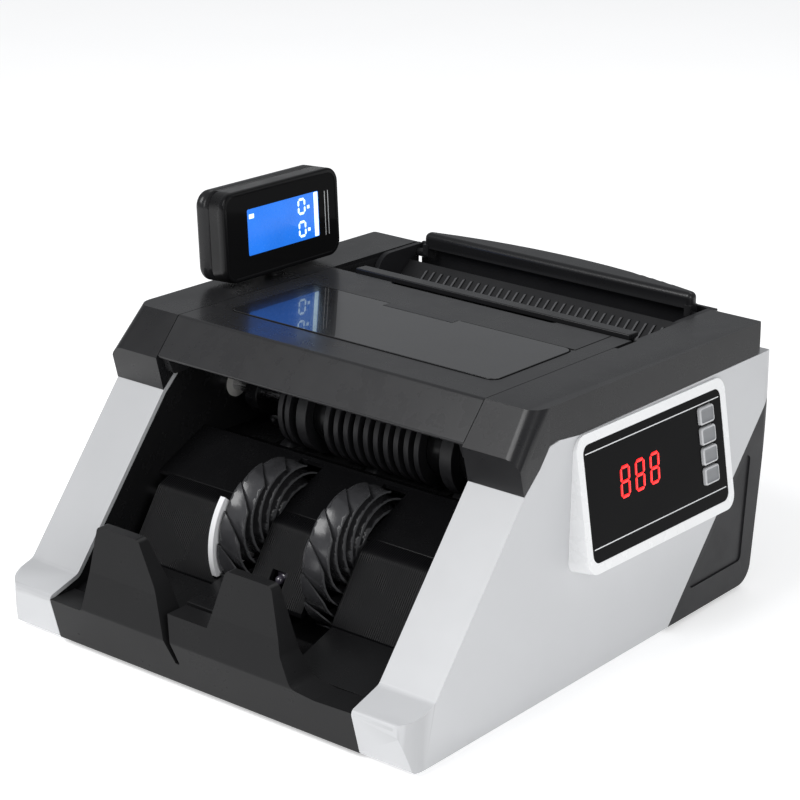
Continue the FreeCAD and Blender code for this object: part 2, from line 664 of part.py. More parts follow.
def plate_pieces(low, high, label):
    """Curved face between two flanks."""
    flank_width = 1.6
    flanks = [prism("x", FLANK, (x, x + flank_width), f"{label}_flank") for x in (low, high - flank_width)]
    return [prism("x", PLATE, (low, high), f"{label}_face")] + flanks


def stacker_plates():
    """Smooth faces beside and between the wheels, and the note sensor."""
    centre, half = dim("stack_x"), dim("plate_half")
    outer, inner = dim("plate_outer"), dim("plate_inner")
    left, right = centre - inner, centre + inner
    pieces = plate_pieces(-outer, left, "left") + [guide_fin((left - 0.5, left + 3))]
    node(fuse(pieces), "stacker_plate_left")
    wall = prism("x", GUIDE, (right - 2.6, right + 0.5), "guide_wall")
    node(fuse(plate_pieces(right, outer, "right") + [wall]), "stacker_plate_right")
    pieces = plate_pieces(centre - half, centre + half, "middle")
    window = box((-1, 9), (-110, -80), (43, 53))
    node(cut(fuse(pieces), [window]), "stacker_plate_middle")
    lens_radius, lens_x, lens_y, lens_z = 2.5, 4, -93.5, 48
    block = box((-0.8, 8.8), (-90, -78), (43.2, 52.8))
    barrel = doc.addObject("Part::Cylinder", "sensor_barrel")
    barrel.Radius = lens_radius
    barrel.Height = 5
    barrel.Placement = FreeCAD.Placement(V(lens_x, lens_y, lens_z), FreeCAD.Rotation(X_AXIS, -90))
    tip = doc.addObject("Part::Sphere", "sensor_tip")
    tip.Radius = lens_radius
    tip.Placement.Base = V(lens_x, lens_y, lens_z)
    node(fuse([block, barrel, tip]), "note_sensor")


def guide_plate():
    """Deck below the drum: it rises over the wheels as a comb and drops into the pocket."""
    half = THROAT - GAP
    profile = [(-70.3, 73.2, 0), (-34, 89.2, 2), (-20, 81.6, 8), (59.6, 80.4, 0), (59.6, 82.8, 0),
               (-18, 83.6, 10), (-34, 91.6, 0.6), (-70.3, 75.6, 0.8)]
    slab = prism("x", profile, (-half, half), "guide_slab")
    reach = dim("wheel_width") / 2 + 1.2
    middles = [dim("stack_x") + side * dim("wheel_offset") for side in (-1, 1)]
    gaps = [box((x - reach, x + reach), (-72, -36.4), (60, 95)) for x in middles]
    gaps += [box((x - 7, x + 7), ("pinch_y - 8.6", "pinch_y + 8.6"), (70, 95)) for x in PINCH_X]
    node(cut(slab, gaps), "guide_plate")
    heads = [post(2.6, x, 14, (83.32, 84.7), "screw_head") for x in (-96, -52, 0, 52, 96)]
    node(group(heads, "deck_screws"), "deck_screws")


# ---------------------------------------------------------------- running gear

def bearings():
    """Flanged bushes that carry the three running shafts in the inner walls."""
    plug = (THROAT - 1, THROAT + 4)
    rim = (THROAT + WALL + 0.05, THROAT + WALL + 1.2)
    parts = []
    for name in SHAFTS:
        y, z = f"{name}_y", f"{name}_z"
        for side in (-1, 1):
            ring = fuse([rod("bearing_radius - 0.02", sorted(side * x for x in plug), y, z),
                         rod("bearing_radius + 2", sorted(side * x for x in rim), y, z)])
            parts.append(cut(ring, [rod("shaft_radius + shaft_play", ("-throat", "throat"), y, z)]))
    node(group(parts, "bearings"), "bearings")


def sleeve(x, inner, outer, label):
    """Plain ring about the X axis from x[0] to x[1]."""
    return turned([(x[0], inner), (x[1], inner), (x[1], outer), (x[0], outer)], label)


# Middle and width of every friction ring on the drum.
RINGS = [(-51, 3.4), (-46, 3.4), (-36, 7)] + [(-18 + 6.9 * step, 3.4) for step in range(10)] + [(63.5, 8)]
SHAFT_BORE = dim("shaft_radius") + 0.02


def feed_drum():
    y, z = "drum_y", "drum_z"
    core_radius = 17
    node(rod("shaft_radius", ("-pulley_near - pulley_width - 2", "throat / 2 + 6"), y, z), "drum_shaft")
    core = sleeve((-58, 74), SHAFT_BORE, core_radius, "core")
    collar = sleeve((-88, -79), SHAFT_BORE, 12, "collar")
    node(group([placed(core, y, z), placed(collar, y, z)], "drum_core"), "drum_core")
    rings = []
    for x, wide in RINGS:
        ring = sleeve((x - wide / 2, x + wide / 2), core_radius + 0.02, dim("drum_radius"), "drum_ring")
        rings.append(placed(ring, y, z))
    node(group(rings, "drum_rings"), "drum_rings")


def pulley(radius, bore, side, label):
    """Flanged belt pulley on the left (side -1) or right (side 1) end of a shaft."""
    near, width, flange = dim("pulley_near"), dim("pulley_width"), 1.4
    rim = radius + 2
    a, b, c, d = near, near + flange, near + width - flange, near + width
    profile = [(a, bore), (d, bore), (d, rim), (c, rim), (c, radius), (b, radius), (b, rim), (a, rim)]
    if side < 0:
        profile = [(-x, r) for x, r in reversed(profile)]
    return turned(profile, label)


def shafts():
    pickup, wheel, pinch = (("pickup_y", "pickup_z"), ("wheel_y", "wheel_z"), ("pinch_y", "pinch_z"))
    node(placed(pulley(16, SHAFT_BORE, -1, "drum_pulley"), "drum_y", "drum_z"), "drum_pulley")
    spindle = rod("shaft_radius", (-121, "throat / 2 + 6"), *pickup)
    drive = placed(pulley(12, 3.5, -1, "pickup_drive"), *pickup)
    node(fuse([spindle, drive]), "pickup_shaft")
    rollers = [placed(sleeve((x - 7, x + 7), SHAFT_BORE, dim("pickup_radius"), "roller"), *pickup)
               for x in (-25, 25)]
    node(group(rollers, "pickup_rollers"), "pickup_rollers")
    spindle = rod("shaft_radius", ("-throat / 2 - 6", 121), *wheel)
    drive = placed(pulley(14, 3.5, 1, "stacker_drive"), *wheel)
    node(fuse([spindle, drive]), "stacker_shaft")
    axle = rod("pinch_shaft", ("-throat / 2 - 3.5", "throat / 2 + 3.5"), *pinch)
    rollers = [rod("pinch_radius", (x - 6, x + 6), *pinch) for x in PINCH_X]
    node(fuse([axle] + rollers), "pinch_rollers")


def leaf_outline(share):
    """Outline of one leaf in (Y, Z) about the wheel's centre, its free end cut back by a share."""
    outer, inner, thick = dim("wheel_radius"), 12.5, 1.0
    stations = [(70, outer), (140, outer - 12), (212, inner)]
    sides = []
    for offset in (0, thick):
        points = [V((radius - offset) * math.cos(math.radians(angle)),
                    (radius - offset) * math.sin(math.radians(angle)), 0) for angle, radius in stations]
        whole = Part.Arc(*points)
        start = whole.FirstParameter + share * (whole.LastParameter - whole.FirstParameter)
        middle = (start + whole.LastParameter) / 2
        sides.append([whole.value(place) for place in (start, middle, whole.LastParameter)])
    front, back = sides
    return [Part.Arc(*front), Part.LineSegment(front[-1], back[-1]), Part.Arc(*back[::-1]),
            Part.LineSegment(back[0], front[0])]


def leaf_wheel(label, middle):
    """Hub with curved leaves by polar pattern; each leaf's free edge runs aslant."""
    body = doc.addObject("PartDesign::Body", label)
    planes = {f.Role: f for f in body.Origin.OriginFeatures}
    low, high = f"{middle} - wheel_width / 2", f"{middle} + wheel_width / 2"

    def drawing(name, offset, edges):
        sketch = body.newObject("Sketcher::SketchObject", f"{label}_{name}")
        sketch.AttachmentSupport = [(planes["YZ_Plane"], "")]
        sketch.MapMode = "FlatFace"
        bind(sketch, "AttachmentOffset.Base.z", offset)
        for edge in edges:
            sketch.addGeometry(edge)
        return sketch

    hub = drawing("hub_outline", low, [Part.Circle(V(), Z_AXIS, 14), Part.Circle(V(), Z_AXIS, SHAFT_BORE)])
    hub_pad = body.newObject("PartDesign::Pad", f"{label}_hub")
    hub_pad.Profile = hub
    bind(hub_pad, "Length", "wheel_width")
    near = drawing("leaf_near", low, leaf_outline(0))
    far = drawing("leaf_far", high, leaf_outline(0.2))
    doc.recompute()
    leaf = body.newObject("PartDesign::AdditiveLoft", f"{label}_leaf")
    leaf.Profile = near
    leaf.Sections = [far]
    leaf.Ruled = True
    doc.recompute()
    pattern = body.newObject("PartDesign::PolarPattern", f"{label}_pattern")
    pattern.Originals = [leaf]
    pattern.Axis = (hub, ["N_Axis"])
    pattern.Angle = 360
    bind(pattern, "Occurrences", "blade_count")
    body.Tip = pattern
    doc.recompute()
    node(placed(body, "wheel_y", "wheel_z"), label)


def stacker_wheels():
    leaf_wheel("stacker_wheel_left", "stack_x - wheel_offset")
    leaf_wheel("stacker_wheel_right", "stack_x + wheel_offset")


def motors():
    """Both motors on their feet, each with a pulley on its spindle."""
    foot_z = "foot_height + wall + 0.1"
    at = ("motor_y", "motor_z")
    can = rod("motor_radius", (-100, -44), *at)
    nose = rod("motor_nose", (-106.5, -100), *at)
    foot = box((-96, -50), ("motor_y - 20", "motor_y + 20"), (foot_z, "motor_z - 12"))
    node(fuse([can, nose, foot]), "main_motor")
    spindle = rod(3, (-119, -106.6), *at)
    node(fuse([spindle, placed(pulley(9, 2.5, -1, "motor_drive"), *at)]), "motor_pulley")
    at = ("small_motor_y", "small_motor_z")
    can = rod("small_motor_radius", (64, 103), *at)
    nose = rod("small_motor_nose", (103, 107.2), *at)
    foot = box((68, 98), ("small_motor_y - 12", "small_motor_y + 12"), (foot_z, "small_motor_z - 8"))
    node(fuse([can, nose, foot]), "stacker_motor")
    spindle = rod(2, (107.6, 119), *at)
    node(fuse([spindle, placed(pulley(7, 1.5, 1, "small_drive"), *at)]), "stacker_motor_pulley")


def belt_loop(pulleys, extra):
    """Face inside a belt's run around pulleys (y, z, radius) named in clockwise order."""
    centres = [V(0, y, z) for y, z, _ in pulleys]
    radii = [radius + extra for _, _, radius in pulleys]
    middle = sum(centres, V()) * (1 / len(centres))
    normals = []
    for index, start in enumerate(centres):
        following = (index + 1) % len(centres)
        run = centres[following] - start
        lean = (radii[index] - radii[following]) / run.Length
        along = V(run).normalize()
        outward = V(0, -along.z, along.y)
        normals.append(along * lean + outward * math.sqrt(1 - lean ** 2))
    edges = []
    for index, centre in enumerate(centres):
        following = (index + 1) % len(centres)
        arriving, leaving = normals[index - 1], normals[index]
        bisector = (arriving + leaving).normalize()
        if bisector.dot(centre - middle) < 0:
            bisector = bisector * -1
        points = [centre + way * radii[index] for way in (arriving, bisector, leaving)]
        edges.append(Part.Arc(*points).toShape())
        edges.append(Part.makeLine(points[2], centres[following] + leaving * radii[following]))
    return Part.Face(Part.Wire(edges))


def belt(label, pulleys, side):
    """Flat belt around pulleys on the left (side -1) or right (side 1)."""
    clearance, thick, width = 0.3, dim("belt_thick"), dim("belt_width")
    ring = belt_loop(pulleys, clearance + thick).cut(belt_loop(pulleys, clearance))
    start = dim("pulley_near") + (dim("pulley_width") - width) / 2
    obj = doc.addObject("Part::Feature", label)
    obj.Shape = ring.extrude(V(width, 0, 0))
    obj.Placement.Base = V(start if side > 0 else -start - width, 0, 0)
    node(obj, label)


def belts():
    drum = (dim("drum_y"), dim("drum_z"), 16)
    pickup = (dim("pickup_y"), dim("pickup_z"), 12)
    motor = (dim("motor_y"), dim("motor_z"), 9)
    belt("drive_belt", [drum, pickup, motor], -1)
    wheel = (dim("wheel_y"), dim("wheel_z"), 14)
    small = (dim("small_motor_y"), dim("small_motor_z"), 7)
    belt("stacker_belt", [wheel, small], 1)


def electronics():
    """Circuit board on four stands, and the transformer beside it."""
    under, over = 14, 15.6
    board = box((-38, 56), (20, 122), (under, over))
    sizes = ((-30, 30, 16, 16, 3), (0, 34, 12, 20, 9), (20, 60, 22, 14, 12), (-28, 88, 10, 22, 14),
             (6, 96, 20, 10, 6))
    chips = [box((x, x + wide), (y, y + deep), (over, over + tall)) for x, y, wide, deep, tall in sizes]
    stands = [post(2.5, x, y, ("foot_height + wall + 0.05", 14.1)) for x in (-34, 52) for y in (24, 118)]
    node(fuse([board] + chips + stands), "main_board")
    core = box((66, 100), (62, 108), (6, 46))
    coil = box((60, 104), (70, 100), (13, 39))
    node(fuse([core, coil]), "transformer")


# ---------------------------------------------------------------- control panel

def on_panel(obj):
    """Places a part built about the panel's own centre: x outwards, y along, z up its face."""
    turn = FreeCAD.Rotation(X_AXIS, -dim("top_slope")).multiply(FreeCAD.Rotation(Y_AXIS, -dim("panel_tilt")))
    obj.Placement = FreeCAD.Placement(V(dim("panel_x"), dim("panel_y"), dim("panel_z")), turn)
    return obj


def panel_block(half_u, half_v, radius, depth, label):
    """Rounded block centred on the panel; depth counts outwards from its face."""
    return on_panel(prism("x", rectangle((-half_u, half_u), (-half_v, half_v), radius), depth, label))


def key_prism(index, margin, depth, label):
    """One key's form, grown all round by the margin."""
    middle = dim("key_top") - index * dim("key_pitch")
    u, v = dim("key_length") / 2 + margin, dim("key_height") / 2 + margin
    column = dim("key_column")
    outline = rectangle((column - u, column + u), (middle - v, middle + v), 1.6 + margin)
    return on_panel(prism("x", outline, depth, label))


def key_holes(label):
    return [key_prism(index, 0.45, (-8, 2), f"{label}_{index}") for index in range(KEYS)]


def control_panel():
    """Bezel with a dark window, the digit module behind it and a column of keys."""
    length, height = dim("panel_length") / 2, dim("panel_height") / 2
    glass_u, glass_v = dim("window_length") / 2, dim("window_height") / 2
    block = panel_block(length, height, 8, (-22, 0), "bezel_block")
    hollow = panel_block(length - 3, height - 3, 5, (-30, -3.2), "bezel_hollow")
    seat = panel_block(glass_u + 0.1, glass_v + 0.1, 5, (-1.2, 2), "bezel_seat")
    port_outline = rectangle((-glass_u + 6, 36), (-glass_v + 8, glass_v - 8), 2)
    port = on_panel(prism("x", port_outline, (-8, 2), "bezel_port"))
    inside = box((0, "width / 2 + 0.05"), (-60, 140), (30, 170))
    node(cut(block, [hollow, seat, port, inside] + key_holes("bezel_hole")), "control_housing")
    glass = panel_block(glass_u, glass_v, 4.9, (-1.1, -0.15), "glass")
    node(cut(glass, key_holes("glass_hole")), "control_window")
    module = on_panel(prism("x", rectangle((-37, 5), (-8, 16), 0.5), (-4.4, -1.3), "digit_block"))
    node(module, "digit_display")
    for index in range(KEYS):
        key = key_prism(index, 0, (-2, 1.5), f"key_{index}")
        front_edges(key, 1.5, 0.7)
        node(key, f"key_{index + 1}")


# ---------------------------------------------------------------- customer display

def on_display(obj, lean=True):
    """Places a part built about the foot of the display: x forwards, z up."""
    turn = FreeCAD.Rotation(X_AXIS, -dim("top_slope"))
    if lean:
        turn = turn.multiply(FreeCAD.Rotation(Y_AXIS, -dim("display_lean")))
    foot = V(dim("display_x"), dim("display_y"), top_z(dim("display_y")))
    obj.recompute()
    local = V(obj.Placement.Base)
    for axis, _ in obj.ExpressionEngine:
        if axis.lstrip(".").startswith("Placement"):
            obj.setExpression(axis, None)
    obj.Placement = FreeCAD.Placement(foot + turn.multVec(local), turn)
    return obj


def display():
    """Customer display: two shells, window and panel on a swivelling post."""
    half, low = dim("display_length") / 2, dim("display_lift")
    high = low + dim("display_height")
    face = 9.35
    joint = face - dim("front_shell")
    back = joint - dim("rear_shell")

    def slab(edge, radius, depth, label):
        """Rounded block inside the display's outline by the given edge distance."""
        outline = rectangle((-half + edge, half - edge), (low + edge, high - edge), radius)
        return prism("x", outline, depth, label)

    def spigot():
        return on_display(post("post_radius + 0.05", 0, 0, (-1, low + 2.8)), lean=False)

    front = slab(0, 9, (joint, face), "display_front")
    front_edges(front, face, 1.2)
    room = slab(2.2, 7, (joint - 1, face - 3), "front_room")
    seat = slab(2.6, 6.4, (face - 1.6, face + 1), "window_seat")
    port = prism("x", rectangle((-29.5, 30.5), (low + 14, high - 12.4), 1), (face - 5, face), "lcd_port")
    tools = [on_display(room), on_display(seat), on_display(port), spigot()]
    node(cut(on_display(front), tools), "display_front_shell")
    rear = slab(0, 9, (back, joint - 0.15), "display_rear")
    front_edges(rear, back, 3)
    room = slab(2.2, 7, (back + 2.2, joint + 1), "rear_room")
    node(cut(on_display(rear), [on_display(room), spigot()]), "display_rear_shell")
    node(on_display(slab(2.7, 6.3, (face - 1.5, face - 0.35), "window")), "display_window")
    lcd = prism("x", rectangle((-30.5, 31.5), (low + 13, high - 11.4), 1), (face - 5.6, face - 3.1), "lcd")
    node(on_display(lcd), "display_lcd")
    column = on_display(post("post_radius", 0, 0, (-12, low + 0.9)), lean=False)
    collar = on_display(post("post_radius + 2.2", 0, 0, (-7, -3.2)), lean=False)
    flat = doc.addObject("Part::Box", "post_flat")
    flat.Length, flat.Width, flat.Height = 3, 12, low - 1.2
    flat.Placement.Base = V(3.6, -6, 0.4)
    node(cut(fuse([column, collar]), [on_display(flat, lean=False)]), "display_post")


def front_edges(body, x, radius):
    """Rounds the rim of a body's face at the given x of its own frame."""
    pad = body.Tip
    edges = [f"Edge{n}" for n, e in enumerate(pad.Shape.Edges, start=1)
             if abs(e.BoundBox.XMin - x) < 0.01 and abs(e.BoundBox.XMax - x) < 0.01]
    fillet = body.newObject("PartDesign::Fillet", f"{body.Name}_rim")
    fillet.Base = (pad, edges)
    fillet.Radius = radius
    doc.recompute()


# ---------------------------------------------------------------- build

side_panels()
inner_walls()
base_tray()
rubber_feet()
rear_panel()
rear_fittings()
top_caps()
lid()
hopper()
back_rest()
front_fence()
stacker_floor()
stacker_plates()
guide_plate()
bearings()
feed_drum()
shafts()
stacker_wheels()
motors()
belts()
electronics()
control_panel()
display()
doc.recompute()

for obj in doc.Objects:
    if {"Invalid", "Error"} & set(obj.State):
        raise RuntimeError(f"{obj.Label} failed: {obj.State}")
os.makedirs("parts", exist_ok=True)
for part in NODES:
    shape = part.Shape
    if shape.isNull() or not shape.isValid() or not shape.Solids:
        raise RuntimeError(f"{part.Label} has a faulty shape")
    shape.exportStep(f"parts/{part.Label}.step")
    bounds = shape.BoundBox
    print(f"{part.Label:24s} solids {len(shape.Solids):3d}  volume {shape.Volume / 1000:8.2f} cm3  "
          f"x {bounds.XMin:7.1f} {bounds.XMax:7.1f}  y {bounds.YMin:7.1f} {bounds.YMax:7.1f}  "
          f"z {bounds.ZMin:6.1f} {bounds.ZMax:6.1f}")
print(len(NODES), "sub-parts")
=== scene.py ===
import math

import bmesh
import bpy
from mathutils import Matrix, Vector

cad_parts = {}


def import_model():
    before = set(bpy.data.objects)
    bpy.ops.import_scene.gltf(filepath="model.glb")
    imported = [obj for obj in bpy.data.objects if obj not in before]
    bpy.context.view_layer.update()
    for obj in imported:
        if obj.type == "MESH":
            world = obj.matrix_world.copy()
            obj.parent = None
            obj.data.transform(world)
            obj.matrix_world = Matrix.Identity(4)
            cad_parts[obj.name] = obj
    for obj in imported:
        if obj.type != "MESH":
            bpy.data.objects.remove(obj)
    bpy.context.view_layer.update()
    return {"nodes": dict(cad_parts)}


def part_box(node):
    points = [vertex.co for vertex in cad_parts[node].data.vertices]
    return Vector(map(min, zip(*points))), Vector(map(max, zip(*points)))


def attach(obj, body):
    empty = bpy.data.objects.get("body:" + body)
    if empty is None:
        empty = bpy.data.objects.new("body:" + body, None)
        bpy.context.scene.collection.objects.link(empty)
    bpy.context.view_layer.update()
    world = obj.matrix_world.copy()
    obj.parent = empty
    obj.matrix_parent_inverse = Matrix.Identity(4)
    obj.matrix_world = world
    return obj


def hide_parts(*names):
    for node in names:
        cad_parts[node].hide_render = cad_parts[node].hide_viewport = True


# Banknote counter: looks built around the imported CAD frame. Metres.

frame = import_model()
MM = 0.001
NODES = frame["nodes"]
# Leans of the CAD faces in degrees: the whole machine, its control panel and the customer display.
BASE_TILT, PANEL_LEAN, DISPLAY_LEAN = 1.54, 9.7, 4


# ---------------------------------------------------------------- node materials

class Shader:
    """Small helper that builds a node material around one Principled shader."""

    def __init__(self, name):
        self.material = bpy.data.materials.new(name)
        self.material.use_nodes = True
        self.tree = self.material.node_tree
        self.bsdf = self.tree.nodes["Principled BSDF"]
        self.space = self.tree.nodes.new("ShaderNodeTexCoord").outputs["Object"]

    def set(self, **values):
        for key, value in values.items():
            self.bsdf.inputs[key.replace("_", " ")].default_value = value
        return self

    def link(self, output, key):
        self.tree.links.new(output, self.bsdf.inputs[key])
        return self

    def stretched(self, scale):
        node = self.tree.nodes.new("ShaderNodeMapping")
        node.inputs["Scale"].default_value = scale
        self.tree.links.new(self.space, node.inputs["Vector"])
        return node.outputs["Vector"]

    def noise(self, scale, detail=3, rough=0.55, space=None):
        node = self.tree.nodes.new("ShaderNodeTexNoise")
        node.inputs["Scale"].default_value = scale
        node.inputs["Detail"].default_value = detail
        node.inputs["Roughness"].default_value = rough
        self.tree.links.new(space or self.space, node.inputs["Vector"])
        return node.outputs["Fac"]

    def spread(self, value, low, high, start=0.3, end=0.7):
        node = self.tree.nodes.new("ShaderNodeMapRange")
        node.inputs["From Min"].default_value = start
        node.inputs["From Max"].default_value = end
        node.inputs["To Min"].default_value = low
        node.inputs["To Max"].default_value = high
        self.tree.links.new(value, node.inputs["Value"])
        return node.outputs["Result"]

    def mix(self, factor, first, second):
        node = self.tree.nodes.new("ShaderNodeMix")
        node.data_type = "RGBA"
        self.tree.links.new(factor, node.inputs["Factor"])
        for socket, value in (("A", first), ("B", second)):
            place = [i for i in node.inputs if i.name == socket and i.type == "RGBA"][0]
            if isinstance(value, bpy.types.NodeSocket):
                self.tree.links.new(value, place)
            else:
                place.default_value = (*value, 1)
        return [o for o in node.outputs if o.type == "RGBA"][0]

    def axis(self, name):
        node = self.tree.nodes.new("ShaderNodeSeparateXYZ")
        self.tree.links.new(self.space, node.inputs["Vector"])
        return node.outputs[name]

    def math(self, operation, first, second=0.0):
        node = self.tree.nodes.new("ShaderNodeMath")
        node.operation = operation
        for index, value in enumerate((first, second)):
            if isinstance(value, bpy.types.NodeSocket):
                self.tree.links.new(value, node.inputs[index])
            else:
                node.inputs[index].default_value = value
        return node.outputs["Value"]

    def facing(self, name):
        """Absolute part of the surface normal along one axis of the part's own frame."""
        node = self.tree.nodes.new("ShaderNodeSeparateXYZ")
        normal = self.tree.nodes.new("ShaderNodeTexCoord").outputs["Normal"]
        self.tree.links.new(normal, node.inputs["Vector"])
        return self.math("ABSOLUTE", node.outputs[name])

    def stripes(self, axis, pitch):
        """Rounded ridges of one pitch in metres along an axis, from 0 to 1."""
        wave = self.math("SINE", self.math("MULTIPLY", self.axis(axis), 2 * math.pi / pitch))
        return self.spread(wave, 0, 1, -1, 1)

    def bump(self, height, distance, strength=1.0):
        node = self.tree.nodes.new("ShaderNodeBump")
        node.inputs["Strength"].default_value = strength
        node.inputs["Distance"].default_value = distance
        self.tree.links.new(height, node.inputs["Height"])
        self.tree.links.new(node.outputs["Normal"], self.bsdf.inputs["Normal"])
        return self

    def worn_and_highlit_edges(self, colour, lighter, amount=0.35):
        """Slightly lighter edges from the surface's own pointiness: partly worn edges, partly a painted
        highlight along the edges.
        """
        geometry = self.tree.nodes.new("ShaderNodeNewGeometry")
        edge = self.spread(geometry.outputs["Pointiness"], 0, amount, 0.52, 0.62)
        return self.mix(edge, colour, lighter)


def plastic(name, base, rough, grain=900, depth=0.02, mottle=0.12, gloss=0.0, coat_rough=0.08, shine=0.5):
    """Moulded plastic: slight colour drift, handled patches in the roughness, spark-eroded grain."""
    s = Shader(name)
    darker = [c * (1 - mottle) for c in base]
    lighter = [min(1, c * (1 + mottle)) for c in base]
    drift = s.spread(s.noise(22, 4), 0, 1)
    # Edges lighter where the surface is pointy: partly wear, partly a painted highlight.
    s.link(s.worn_and_highlit_edges(s.mix(drift, darker, lighter), [min(1, c * 1.5 + 0.02) for c in base]), "Base Color")
    s.link(s.spread(s.noise(55, 5, 0.65), rough * 0.86, rough * 1.16), "Roughness")
    s.bump(s.noise(grain, 2, 0.4), depth * MM)
    s.set(IOR=1.5, Coat_Weight=gloss, Coat_Roughness=coat_rough, Specular_IOR_Level=shine)
    return s.material


def metal(name, base, rough, along=(1, 60, 60), depth=0.01):
    """Turned or drawn metal with fine lines across the stretch direction."""
    s = Shader(name)
    lines = s.noise(40, 4, 0.6, s.stretched(along))
    s.link(s.mix(s.spread(lines, 0, 1), [c * 0.86 for c in base], base), "Base Color")
    s.link(s.spread(lines, rough * 0.75, rough * 1.3), "Roughness")
    s.bump(lines, depth * MM)
    s.set(Metallic=1.0)
    return s.material


def rubber(name, base, rough=0.62):
    s = Shader(name)
    drift = s.spread(s.noise(60, 5, 0.7), 0, 1)
    # Edges lighter where the surface is pointy: partly wear, partly a painted highlight.
    s.link(s.worn_and_highlit_edges(s.mix(drift, [c * 0.75 for c in base], [c * 1.35 for c in base]),
                  [c * 2.2 + 0.01 for c in base]), "Base Color")
    s.link(s.spread(s.noise(240, 4), rough * 0.85, min(1, rough * 1.2)), "Roughness")
    s.bump(s.noise(1400, 3, 0.6), 0.03 * MM)
    s.set(IOR=1.48)
    return s.material


def glow(name, base, light, strength, scale=90):
    """Lit display element whose brightness drifts a little over its face."""
    s = Shader(name)
    drift = s.spread(s.noise(scale, 2), 0, 1)
    s.link(s.mix(drift, [c * 0.82 for c in light], light), "Emission Color")
    s.link(s.mix(drift, [c * 0.9 for c in base], base), "Base Color")
    s.link(s.spread(s.noise(400, 2), 0.22, 0.3), "Roughness")
    s.set(Emission_Strength=strength)
    return s.material


def leaf_wheel(name):
    """Flexible grey leaves whose edges are a little lighter than their faces: a painted highlight along the
    edges.
    """
    s = Shader(name)
    drift = s.spread(s.noise(70, 4), 0, 1)
    faces = s.mix(drift, (0.026, 0.026, 0.028), (0.042, 0.042, 0.045))
    # Surfaces facing along X get a lighter grey: painted highlight on the leaf edges.
    edge_highlight_mask = s.spread(s.facing("X"), 0, 1, 0.7, 0.9)
    s.link(s.mix(edge_highlight_mask, faces, (0.085, 0.086, 0.09)), "Base Color")
    s.link(s.spread(s.noise(120, 4), 0.18, 0.28), "Roughness")
    s.bump(s.noise(1200, 2), 0.015 * MM)
    return s.material


def ridged_shader(name):
    """Black guide face with fine moulded ridges along the path of the notes; also gives its colour, with
    painted shade in the troughs between the ridges.
    """
    s = Shader(name)
    ridges = s.stripes("X", 1.3 * MM)
    drift = s.spread(s.noise(30, 4), 0, 1)
    crests = s.mix(drift, (0.005, 0.005, 0.0055), (0.007, 0.007, 0.0075))
    # Troughs between the ridges are darker than the crests: painted shade.
    colour = s.mix(ridges, (0.0025, 0.0025, 0.003), crests)
    s.link(colour, "Base Color")
    s.link(s.spread(s.noise(60, 4), 0.24, 0.34), "Roughness")
    s.bump(ridges, 0.12 * MM)
    s.set(Specular_IOR_Level=0.08)
    return s, colour


def note_plate(name):
    return ridged_shader(name)[0].material


def finned_plate(name, start, end, height):
    """Guide face whose fin, between two places along X and above a height, is white."""
    s, ridged = ridged_shader(name)
    x, z = s.axis("X"), s.axis("Z")
    inside = s.math("MULTIPLY", s.math("GREATER_THAN", x, start), s.math("LESS_THAN", x, end))
    fin = s.math("MULTIPLY", inside, s.math("GREATER_THAN", z, height))
    s.link(s.mix(fin, ridged, (0.80, 0.80, 0.81)), "Base Color")
    return s.material


def ribbed_slope(name):
    """Satin black feed plate whose low ribs are lighter on top: a painted highlight along the rib tops."""
    s = Shader(name)
    slope, at_y, at_z = 0.755, 148 * MM, 151 * MM
    level = s.math("ADD", s.math("MULTIPLY", s.axis("Y"), slope), at_z - at_y * slope)
    rise = s.math("SUBTRACT", s.axis("Z"), level)
    # Rib tops above the plate plane get a lighter grey: painted highlight.
    top = s.spread(rise, 0, 1, 0.5 * MM, 1.0 * MM)
    drift = s.spread(s.noise(25, 4), 0, 1)
    s.link(s.mix(top, s.mix(drift, (0.010, 0.010, 0.011), (0.015, 0.015, 0.016)), (0.085, 0.085, 0.088)),
           "Base Color")
    s.link(s.spread(s.noise(55, 5), 0.36, 0.48), "Roughness")
    s.bump(s.noise(1100, 2), 0.02 * MM)
    s.set(Specular_IOR_Level=0.3)
    return s.material


def circuit_board(name):
    """Green board with fine traces below its dark components."""
    s = Shader(name)
    board_top = 15.7 * MM
    high = s.math("GREATER_THAN", s.axis("Z"), board_top)
    traces = s.spread(s.noise(420, 1, 0.2, s.stretched((1, 3, 1))), 0, 1, 0.47, 0.53)
    board = s.mix(traces, (0.010, 0.085, 0.035), (0.020, 0.16, 0.065))
    s.link(s.mix(high, board, (0.03, 0.03, 0.035)), "Base Color")
    s.link(s.spread(s.noise(200, 3), 0.3, 0.5), "Roughness")
    s.bump(traces, 0.03 * MM)
    return s.material


SILVER = plastic("silver_plastic", (0.455, 0.46, 0.47), 0.36, grain=1500, depth=0.012, mottle=0.02)
WHITE = plastic("white_plastic", (0.86, 0.865, 0.87), 0.26, grain=1500, depth=0.008, mottle=0.015)
GLOSS_BLACK = plastic("gloss_black", (0.0115, 0.0115, 0.0125), 0.28, grain=1300, depth=0.010, gloss=0.10,
                      coat_rough=0.08, shine=0.26)
LID_BLACK = plastic("lid_black", (0.013, 0.013, 0.014), 0.2, grain=1300, depth=0.003, gloss=0.6,
                    coat_rough=0.02, shine=0.3)
SATIN_BLACK = plastic("satin_black", (0.015, 0.015, 0.0165), 0.4, grain=1100, depth=0.028, shine=0.22)
INNER_BLACK = plastic("inner_black", (0.0045, 0.0045, 0.005), 0.26, grain=1300, depth=0.012, shine=0.2)
ACRYLIC = plastic("dark_acrylic", (0.0015, 0.0015, 0.0018), 0.07, grain=600, depth=0.001, shine=0.025)
FENCE_BLACK = plastic("fence_black", (0.006, 0.006, 0.0065), 0.3, grain=1200, depth=0.012, shine=0.11)
